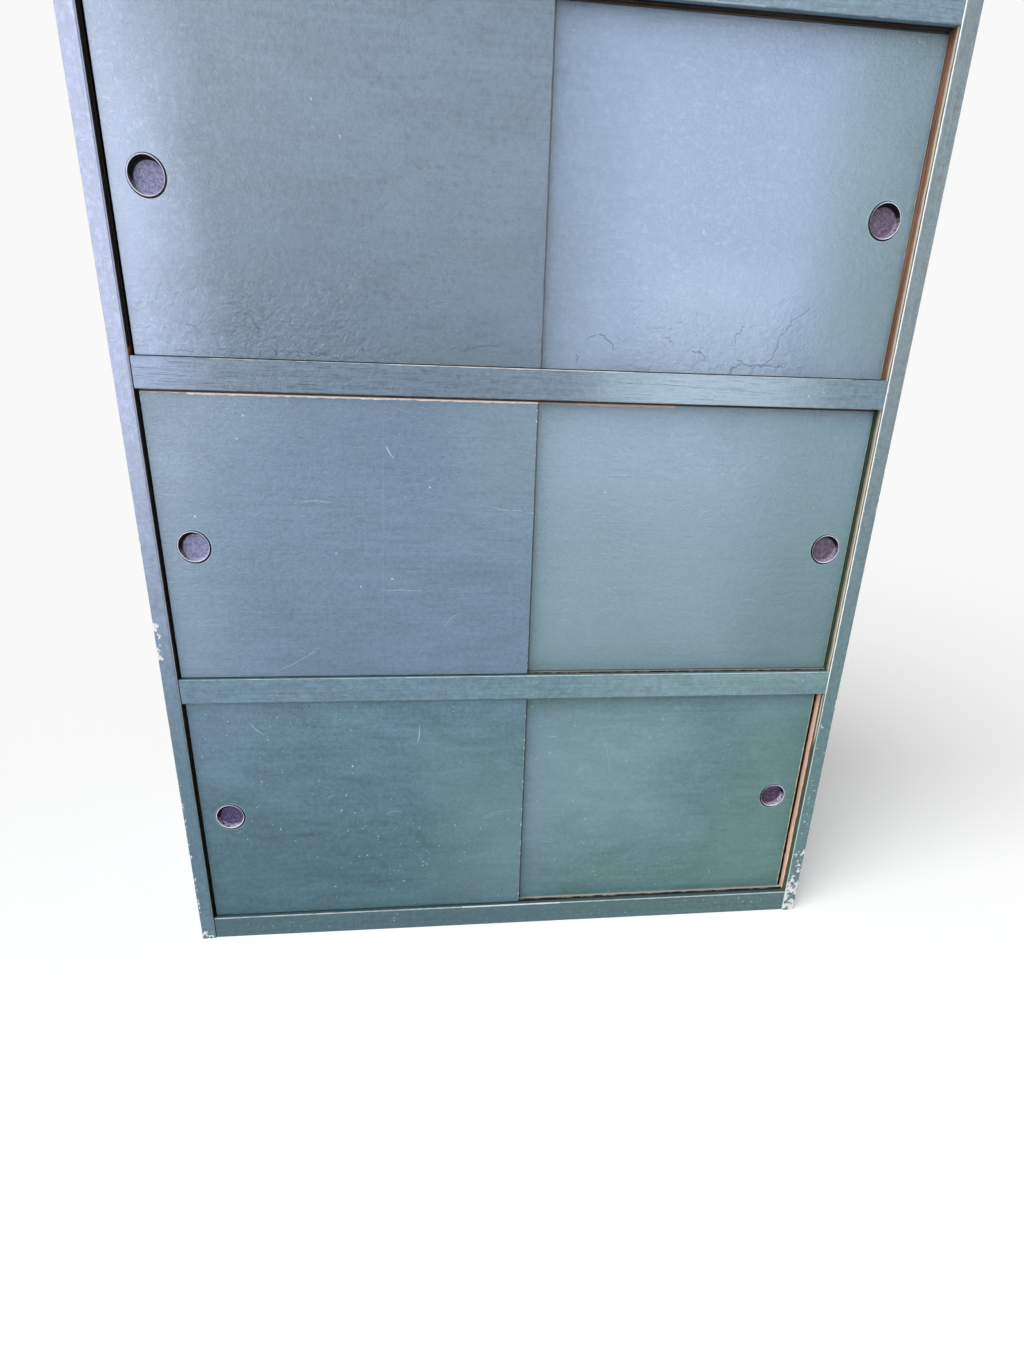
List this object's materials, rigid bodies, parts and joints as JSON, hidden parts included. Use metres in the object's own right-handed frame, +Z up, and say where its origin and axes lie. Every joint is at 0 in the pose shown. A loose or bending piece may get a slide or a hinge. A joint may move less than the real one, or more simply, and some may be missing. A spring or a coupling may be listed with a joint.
{
  "type": "mizuya kitchen cabinet",
  "caption": "Tall painted post-and-rail kitchen cabinet with stacked tiers of flat sliding doors in grooved rails, each with a round recessed finger pull.",
  "frame": {"origin": "on the floor under the middle of the carcass, halfway between its sides and between its front and back", "axes": "+X to the right as seen from the front, -Y to the front where the doors face, +Z up"},
  "size_m": [1.212, 0.424, 1.5585],
  "materials": {
    "painted_wood": "worn satin blue-green paint over softwood",
    "bare_wood": "aged unpainted softwood",
    "pull_metal": "dark aged bronze finish on pressed metal",
    "nail_iron": "dull iron"
  },
  "bodies": {
    "carcass": {"front_post_left": "painted_wood", "rear_post_left": "painted_wood", "front_post_right": "painted_wood", "rear_post_right": "painted_wood", "front_rail_bottom": "painted_wood", "rear_rail_bottom": "painted_wood", "side_rail_left_bottom": "painted_wood", "side_rail_right_bottom": "painted_wood", "front_rail_lower": "painted_wood", "rear_rail_lower": "painted_wood", "side_rail_left_lower": "painted_wood", "side_rail_right_lower": "painted_wood", "front_rail_upper": "painted_wood", "rear_rail_upper": "painted_wood", "side_rail_left_upper": "painted_wood", "side_rail_right_upper": "painted_wood", "front_rail_top": "painted_wood", "rear_rail_top": "painted_wood", "side_rail_left_top": "painted_wood", "side_rail_right_top": "painted_wood", "side_panel_left_lower": "painted_wood", "side_panel_right_lower": "painted_wood", "side_panel_left_middle": "painted_wood", "side_panel_right_middle": "painted_wood", "side_panel_left_upper": "painted_wood", "side_panel_right_upper": "painted_wood", "bottom_board": "bare_wood", "lower_shelf": "bare_wood", "upper_shelf": "bare_wood", "top_board": "painted_wood", "back_board_left": "bare_wood", "back_board_middle": "bare_wood", "back_board_right": "bare_wood", "back_board_nails": "nail_iron", "top_board_nails": "nail_iron"},
    "lower_left_door": {"lower_left_door_core": "bare_wood", "lower_left_door_front": "painted_wood", "lower_left_door_back": "bare_wood", "lower_left_pull": "pull_metal"},
    "lower_right_door": {"lower_right_door_core": "bare_wood", "lower_right_door_front": "painted_wood", "lower_right_door_back": "bare_wood", "lower_right_pull": "pull_metal"},
    "middle_left_door": {"middle_left_door_core": "bare_wood", "middle_left_door_front": "painted_wood", "middle_left_door_back": "bare_wood", "middle_left_pull": "pull_metal"},
    "middle_right_door": {"middle_right_door_core": "bare_wood", "middle_right_door_front": "painted_wood", "middle_right_door_back": "bare_wood", "middle_right_pull": "pull_metal"},
    "upper_left_door": {"upper_left_door_core": "bare_wood", "upper_left_door_front": "painted_wood", "upper_left_door_back": "bare_wood", "upper_left_pull": "pull_metal"},
    "upper_right_door": {"upper_right_door_core": "bare_wood", "upper_right_door_front": "painted_wood", "upper_right_door_back": "bare_wood", "upper_right_pull": "pull_metal"}
  },
  "joints": [
    {"name": "lower_left_slide", "type": "slide", "parent": "carcass", "child": "lower_left_door", "axis": [1, 0, 0], "range_m": [-0.0042, 0.5652]},
    {"name": "lower_right_slide", "type": "slide", "parent": "carcass", "child": "lower_right_door", "axis": [1, 0, 0], "range_m": [-0.5622, 0.0072]},
    {"name": "middle_left_slide", "type": "slide", "parent": "carcass", "child": "middle_left_door", "axis": [1, 0, 0], "range_m": [-0.0037, 0.5657]},
    {"name": "middle_right_slide", "type": "slide", "parent": "carcass", "child": "middle_right_door", "axis": [1, 0, 0], "range_m": [-0.5689, 0.0005]},
    {"name": "upper_left_slide", "type": "slide", "parent": "carcass", "child": "upper_left_door", "axis": [1, 0, 0], "range_m": [-0.0057, 0.5637]},
    {"name": "upper_right_slide", "type": "slide", "parent": "carcass", "child": "upper_right_door", "axis": [1, 0, 0], "range_m": [-0.5689, 0.0005]}
  ]
}
